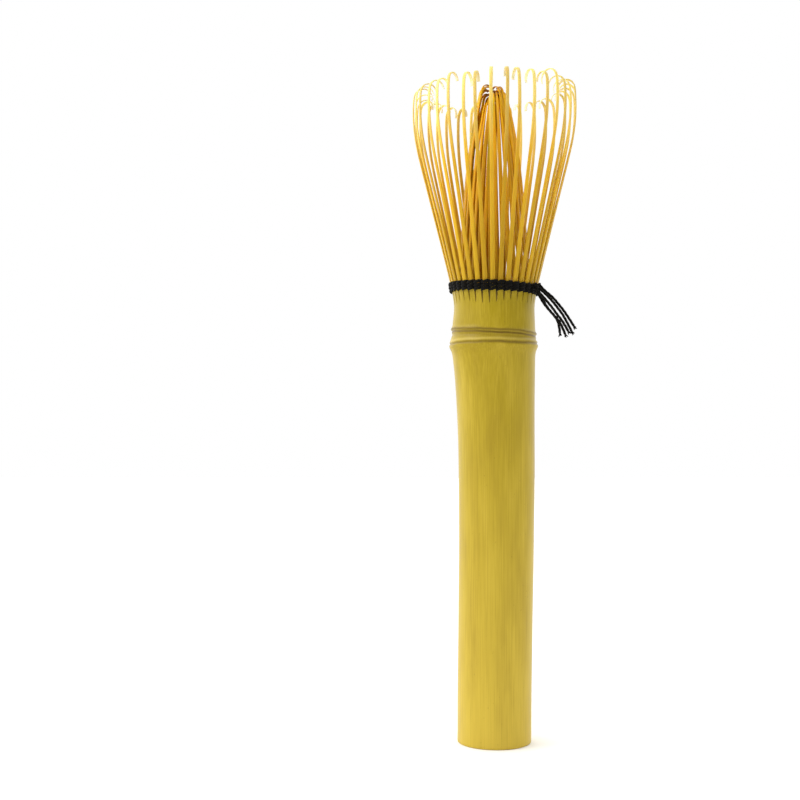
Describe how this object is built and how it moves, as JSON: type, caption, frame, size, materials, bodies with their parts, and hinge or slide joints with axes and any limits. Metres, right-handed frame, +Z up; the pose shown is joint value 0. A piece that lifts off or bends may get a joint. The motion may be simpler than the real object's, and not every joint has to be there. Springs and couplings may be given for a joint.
{
  "type": "bamboo tea whisk",
  "caption": "Upright bamboo tea whisk: a hollow culm handle with a node, a ring of outward-leaning curl-tipped tines, an inner cone of tines, and a black thread band with loose tails.",
  "frame": {"origin": "centre of the handle's cut bottom end, on the surface it stands on", "axes": "+Z up along the whisk's axis from handle to tine tips; +X to the right and -Y towards the viewer of the front, with the thread's knot at right of front"},
  "size_m": [0.0489, 0.0487, 0.1943],
  "materials": {
    "culm": "satin bamboo skin",
    "tines": "split and shaved bamboo",
    "tines_inner": "split and shaved bamboo, darker curled tips",
    "thread": "twisted cotton thread"
  },
  "bodies": {
    "handle": {"handle_culm": "culm", "thread_row_1": "thread", "thread_row_2": "thread", "thread_row_3": "thread", "thread_knot": "thread", "thread_tail_1": "thread", "thread_tail_2": "thread", "thread_tail_3": "thread", "thread_tail_4": "thread", "thread_tail_5": "thread"},
    "outer_tine_01": {"outer_tine_01": "tines"},
    "outer_tine_02": {"outer_tine_02": "tines"},
    "outer_tine_03": {"outer_tine_03": "tines"},
    "outer_tine_04": {"outer_tine_04": "tines"},
    "outer_tine_05": {"outer_tine_05": "tines"},
    "outer_tine_06": {"outer_tine_06": "tines"},
    "outer_tine_07": {"outer_tine_07": "tines"},
    "outer_tine_08": {"outer_tine_08": "tines"},
    "outer_tine_09": {"outer_tine_09": "tines"},
    "outer_tine_10": {"outer_tine_10": "tines"},
    "outer_tine_11": {"outer_tine_11": "tines"},
    "outer_tine_12": {"outer_tine_12": "tines"},
    "outer_tine_13": {"outer_tine_13": "tines"},
    "outer_tine_14": {"outer_tine_14": "tines"},
    "outer_tine_15": {"outer_tine_15": "tines"},
    "outer_tine_16": {"outer_tine_16": "tines"},
    "outer_tine_17": {"outer_tine_17": "tines"},
    "outer_tine_18": {"outer_tine_18": "tines"},
    "outer_tine_19": {"outer_tine_19": "tines"},
    "outer_tine_20": {"outer_tine_20": "tines"},
    "outer_tine_21": {"outer_tine_21": "tines"},
    "outer_tine_22": {"outer_tine_22": "tines"},
    "outer_tine_23": {"outer_tine_23": "tines"},
    "outer_tine_24": {"outer_tine_24": "tines"},
    "outer_tine_25": {"outer_tine_25": "tines"},
    "outer_tine_26": {"outer_tine_26": "tines"},
    "outer_tine_27": {"outer_tine_27": "tines"},
    "outer_tine_28": {"outer_tine_28": "tines"},
    "outer_tine_29": {"outer_tine_29": "tines"},
    "outer_tine_30": {"outer_tine_30": "tines"},
    "outer_tine_31": {"outer_tine_31": "tines"},
    "outer_tine_32": {"outer_tine_32": "tines"},
    "outer_tine_33": {"outer_tine_33": "tines"},
    "outer_tine_34": {"outer_tine_34": "tines"},
    "outer_tine_35": {"outer_tine_35": "tines"},
    "outer_tine_36": {"outer_tine_36": "tines"},
    "inner_tines_01": {"inner_tines_01": "tines_inner"},
    "inner_tines_02": {"inner_tines_02": "tines_inner"},
    "inner_tines_03": {"inner_tines_03": "tines_inner"},
    "inner_tines_04": {"inner_tines_04": "tines_inner"},
    "inner_tines_05": {"inner_tines_05": "tines_inner"},
    "inner_tines_06": {"inner_tines_06": "tines_inner"},
    "inner_tines_07": {"inner_tines_07": "tines_inner"},
    "inner_tines_08": {"inner_tines_08": "tines_inner"},
    "inner_tines_09": {"inner_tines_09": "tines_inner"},
    "inner_tines_10": {"inner_tines_10": "tines_inner"},
    "inner_tines_11": {"inner_tines_11": "tines_inner"},
    "inner_tines_12": {"inner_tines_12": "tines_inner"}
  },
  "joints": [
    {"name": "outer_tine_01_flex", "type": "hinge", "parent": "handle", "child": "outer_tine_01", "pos_m": [0.01227, 0.00086, 0.13325], "axis": [-0.0698, 0.9976, 0], "range_deg": [-5, 5], "stiffness_Nm_per_rad": 0.009},
    {"name": "outer_tine_02_flex", "type": "hinge", "parent": "handle", "child": "outer_tine_02", "pos_m": [0.01193, 0.00298, 0.13325], "axis": [-0.2419, 0.9703, 0], "range_deg": [-5, 5], "stiffness_Nm_per_rad": 0.009},
    {"name": "outer_tine_03_flex", "type": "hinge", "parent": "handle", "child": "outer_tine_03", "pos_m": [0.01124, 0.005, 0.13325], "axis": [-0.4067, 0.9135, 0], "range_deg": [-5, 5], "stiffness_Nm_per_rad": 0.009},
    {"name": "outer_tine_04_flex", "type": "hinge", "parent": "handle", "child": "outer_tine_04", "pos_m": [0.0102, 0.00688, 0.13325], "axis": [-0.5592, 0.829, 0], "range_deg": [-5, 5], "stiffness_Nm_per_rad": 0.009},
    {"name": "outer_tine_05_flex", "type": "hinge", "parent": "handle", "child": "outer_tine_05", "pos_m": [0.00885, 0.00854, 0.13325], "axis": [-0.6947, 0.7193, 0], "range_deg": [-5, 5], "stiffness_Nm_per_rad": 0.009},
    {"name": "outer_tine_06_flex", "type": "hinge", "parent": "handle", "child": "outer_tine_06", "pos_m": [0.00723, 0.00995, 0.13325], "axis": [-0.809, 0.5878, 0], "range_deg": [-5, 5], "stiffness_Nm_per_rad": 0.009},
    {"name": "outer_tine_07_flex", "type": "hinge", "parent": "handle", "child": "outer_tine_07", "pos_m": [0.00539, 0.01106, 0.13325], "axis": [-0.8988, 0.4384, 0], "range_deg": [-5, 5], "stiffness_Nm_per_rad": 0.009},
    {"name": "outer_tine_08_flex", "type": "hinge", "parent": "handle", "child": "outer_tine_08", "pos_m": [0.00339, 0.01182, 0.13325], "axis": [-0.9613, 0.2756, 0], "range_deg": [-5, 5], "stiffness_Nm_per_rad": 0.009},
    {"name": "outer_tine_09_flex", "type": "hinge", "parent": "handle", "child": "outer_tine_09", "pos_m": [0.00129, 0.01223, 0.13325], "axis": [-0.9945, 0.1045, 0], "range_deg": [-5, 5], "stiffness_Nm_per_rad": 0.009},
    {"name": "outer_tine_10_flex", "type": "hinge", "parent": "handle", "child": "outer_tine_10", "pos_m": [-0.00086, 0.01227, 0.13325], "axis": [-0.9976, -0.0698, 0], "range_deg": [-5, 5], "stiffness_Nm_per_rad": 0.009},
    {"name": "outer_tine_11_flex", "type": "hinge", "parent": "handle", "child": "outer_tine_11", "pos_m": [-0.00298, 0.01193, 0.13325], "axis": [-0.9703, -0.2419, 0], "range_deg": [-5, 5], "stiffness_Nm_per_rad": 0.009},
    {"name": "outer_tine_12_flex", "type": "hinge", "parent": "handle", "child": "outer_tine_12", "pos_m": [-0.005, 0.01124, 0.13325], "axis": [-0.9135, -0.4067, 0], "range_deg": [-5, 5], "stiffness_Nm_per_rad": 0.009},
    {"name": "outer_tine_13_flex", "type": "hinge", "parent": "handle", "child": "outer_tine_13", "pos_m": [-0.00688, 0.0102, 0.13325], "axis": [-0.829, -0.5592, 0], "range_deg": [-5, 5], "stiffness_Nm_per_rad": 0.009},
    {"name": "outer_tine_14_flex", "type": "hinge", "parent": "handle", "child": "outer_tine_14", "pos_m": [-0.00854, 0.00885, 0.13325], "axis": [-0.7193, -0.6947, 0], "range_deg": [-5, 5], "stiffness_Nm_per_rad": 0.009},
    {"name": "outer_tine_15_flex", "type": "hinge", "parent": "handle", "child": "outer_tine_15", "pos_m": [-0.00995, 0.00723, 0.13325], "axis": [-0.5878, -0.809, 0], "range_deg": [-5, 5], "stiffness_Nm_per_rad": 0.009},
    {"name": "outer_tine_16_flex", "type": "hinge", "parent": "handle", "child": "outer_tine_16", "pos_m": [-0.01106, 0.00539, 0.13325], "axis": [-0.4384, -0.8988, 0], "range_deg": [-5, 5], "stiffness_Nm_per_rad": 0.009},
    {"name": "outer_tine_17_flex", "type": "hinge", "parent": "handle", "child": "outer_tine_17", "pos_m": [-0.01182, 0.00339, 0.13325], "axis": [-0.2756, -0.9613, 0], "range_deg": [-5, 5], "stiffness_Nm_per_rad": 0.009},
    {"name": "outer_tine_18_flex", "type": "hinge", "parent": "handle", "child": "outer_tine_18", "pos_m": [-0.01223, 0.00129, 0.13325], "axis": [-0.1045, -0.9945, 0], "range_deg": [-5, 5], "stiffness_Nm_per_rad": 0.009},
    {"name": "outer_tine_19_flex", "type": "hinge", "parent": "handle", "child": "outer_tine_19", "pos_m": [-0.01227, -0.00086, 0.13325], "axis": [0.0698, -0.9976, 0], "range_deg": [-5, 5], "stiffness_Nm_per_rad": 0.009},
    {"name": "outer_tine_20_flex", "type": "hinge", "parent": "handle", "child": "outer_tine_20", "pos_m": [-0.01193, -0.00298, 0.13325], "axis": [0.2419, -0.9703, 0], "range_deg": [-5, 5], "stiffness_Nm_per_rad": 0.009},
    {"name": "outer_tine_21_flex", "type": "hinge", "parent": "handle", "child": "outer_tine_21", "pos_m": [-0.01124, -0.005, 0.13325], "axis": [0.4067, -0.9135, 0], "range_deg": [-5, 5], "stiffness_Nm_per_rad": 0.009},
    {"name": "outer_tine_22_flex", "type": "hinge", "parent": "handle", "child": "outer_tine_22", "pos_m": [-0.0102, -0.00688, 0.13325], "axis": [0.5592, -0.829, 0], "range_deg": [-5, 5], "stiffness_Nm_per_rad": 0.009},
    {"name": "outer_tine_23_flex", "type": "hinge", "parent": "handle", "child": "outer_tine_23", "pos_m": [-0.00885, -0.00854, 0.13325], "axis": [0.6947, -0.7193, 0], "range_deg": [-5, 5], "stiffness_Nm_per_rad": 0.009},
    {"name": "outer_tine_24_flex", "type": "hinge", "parent": "handle", "child": "outer_tine_24", "pos_m": [-0.00723, -0.00995, 0.13325], "axis": [0.809, -0.5878, 0], "range_deg": [-5, 5], "stiffness_Nm_per_rad": 0.009},
    {"name": "outer_tine_25_flex", "type": "hinge", "parent": "handle", "child": "outer_tine_25", "pos_m": [-0.00539, -0.01106, 0.13325], "axis": [0.8988, -0.4384, 0], "range_deg": [-5, 5], "stiffness_Nm_per_rad": 0.009},
    {"name": "outer_tine_26_flex", "type": "hinge", "parent": "handle", "child": "outer_tine_26", "pos_m": [-0.00339, -0.01182, 0.13325], "axis": [0.9613, -0.2756, 0], "range_deg": [-5, 5], "stiffness_Nm_per_rad": 0.009},
    {"name": "outer_tine_27_flex", "type": "hinge", "parent": "handle", "child": "outer_tine_27", "pos_m": [-0.00129, -0.01223, 0.13325], "axis": [0.9945, -0.1045, 0], "range_deg": [-5, 5], "stiffness_Nm_per_rad": 0.009},
    {"name": "outer_tine_28_flex", "type": "hinge", "parent": "handle", "child": "outer_tine_28", "pos_m": [0.00086, -0.01227, 0.13325], "axis": [0.9976, 0.0698, 0], "range_deg": [-5, 5], "stiffness_Nm_per_rad": 0.009},
    {"name": "outer_tine_29_flex", "type": "hinge", "parent": "handle", "child": "outer_tine_29", "pos_m": [0.00298, -0.01193, 0.13325], "axis": [0.9703, 0.2419, 0], "range_deg": [-5, 5], "stiffness_Nm_per_rad": 0.009},
    {"name": "outer_tine_30_flex", "type": "hinge", "parent": "handle", "child": "outer_tine_30", "pos_m": [0.005, -0.01124, 0.13325], "axis": [0.9135, 0.4067, 0], "range_deg": [-5, 5], "stiffness_Nm_per_rad": 0.009},
    {"name": "outer_tine_31_flex", "type": "hinge", "parent": "handle", "child": "outer_tine_31", "pos_m": [0.00688, -0.0102, 0.13325], "axis": [0.829, 0.5592, 0], "range_deg": [-5, 5], "stiffness_Nm_per_rad": 0.009},
    {"name": "outer_tine_32_flex", "type": "hinge", "parent": "handle", "child": "outer_tine_32", "pos_m": [0.00854, -0.00885, 0.13325], "axis": [0.7193, 0.6947, 0], "range_deg": [-5, 5], "stiffness_Nm_per_rad": 0.009},
    {"name": "outer_tine_33_flex", "type": "hinge", "parent": "handle", "child": "outer_tine_33", "pos_m": [0.00995, -0.00723, 0.13325], "axis": [0.5878, 0.809, 0], "range_deg": [-5, 5], "stiffness_Nm_per_rad": 0.009},
    {"name": "outer_tine_34_flex", "type": "hinge", "parent": "handle", "child": "outer_tine_34", "pos_m": [0.01106, -0.00539, 0.13325], "axis": [0.4384, 0.8988, 0], "range_deg": [-5, 5], "stiffness_Nm_per_rad": 0.009},
    {"name": "outer_tine_35_flex", "type": "hinge", "parent": "handle", "child": "outer_tine_35", "pos_m": [0.01182, -0.00339, 0.13325], "axis": [0.2756, 0.9613, 0], "range_deg": [-5, 5], "stiffness_Nm_per_rad": 0.009},
    {"name": "outer_tine_36_flex", "type": "hinge", "parent": "handle", "child": "outer_tine_36", "pos_m": [0.01223, -0.00129, 0.13325], "axis": [0.1045, 0.9945, 0], "range_deg": [-5, 5], "stiffness_Nm_per_rad": 0.009},
    {"name": "inner_tines_01_flex", "type": "hinge", "parent": "handle", "child": "inner_tines_01", "pos_m": [0.01012, 0.00348, 0.13314], "axis": [-0.3256, 0.9455, 0], "range_deg": [0, 4], "stiffness_Nm_per_rad": 0.012},
    {"name": "inner_tines_02_flex", "type": "hinge", "parent": "handle", "child": "inner_tines_02", "pos_m": [0.00702, 0.00808, 0.13314], "axis": [-0.7547, 0.6561, 0], "range_deg": [0, 4], "stiffness_Nm_per_rad": 0.012},
    {"name": "inner_tines_03_flex", "type": "hinge", "parent": "handle", "child": "inner_tines_03", "pos_m": [0.00204, 0.0105, 0.13314], "axis": [-0.9816, 0.1908, 0], "range_deg": [0, 4], "stiffness_Nm_per_rad": 0.012},
    {"name": "inner_tines_04_flex", "type": "hinge", "parent": "handle", "child": "inner_tines_04", "pos_m": [-0.00348, 0.01012, 0.13314], "axis": [-0.9455, -0.3256, 0], "range_deg": [0, 4], "stiffness_Nm_per_rad": 0.012},
    {"name": "inner_tines_05_flex", "type": "hinge", "parent": "handle", "child": "inner_tines_05", "pos_m": [-0.00808, 0.00702, 0.13314], "axis": [-0.6561, -0.7547, 0], "range_deg": [0, 4], "stiffness_Nm_per_rad": 0.012},
    {"name": "inner_tines_06_flex", "type": "hinge", "parent": "handle", "child": "inner_tines_06", "pos_m": [-0.0105, 0.00204, 0.13314], "axis": [-0.1908, -0.9816, 0], "range_deg": [0, 4], "stiffness_Nm_per_rad": 0.012},
    {"name": "inner_tines_07_flex", "type": "hinge", "parent": "handle", "child": "inner_tines_07", "pos_m": [-0.01012, -0.00348, 0.13314], "axis": [0.3256, -0.9455, 0], "range_deg": [0, 4], "stiffness_Nm_per_rad": 0.012},
    {"name": "inner_tines_08_flex", "type": "hinge", "parent": "handle", "child": "inner_tines_08", "pos_m": [-0.00702, -0.00808, 0.13314], "axis": [0.7547, -0.6561, 0], "range_deg": [0, 4], "stiffness_Nm_per_rad": 0.012},
    {"name": "inner_tines_09_flex", "type": "hinge", "parent": "handle", "child": "inner_tines_09", "pos_m": [-0.00204, -0.0105, 0.13314], "axis": [0.9816, -0.1908, 0], "range_deg": [0, 4], "stiffness_Nm_per_rad": 0.012},
    {"name": "inner_tines_10_flex", "type": "hinge", "parent": "handle", "child": "inner_tines_10", "pos_m": [0.00348, -0.01012, 0.13314], "axis": [0.9455, 0.3256, 0], "range_deg": [0, 4], "stiffness_Nm_per_rad": 0.012},
    {"name": "inner_tines_11_flex", "type": "hinge", "parent": "handle", "child": "inner_tines_11", "pos_m": [0.00808, -0.00702, 0.13314], "axis": [0.6561, 0.7547, 0], "range_deg": [0, 4], "stiffness_Nm_per_rad": 0.012},
    {"name": "inner_tines_12_flex", "type": "hinge", "parent": "handle", "child": "inner_tines_12", "pos_m": [0.0105, -0.00204, 0.13314], "axis": [0.1908, 0.9816, 0], "range_deg": [0, 4], "stiffness_Nm_per_rad": 0.012}
  ]
}
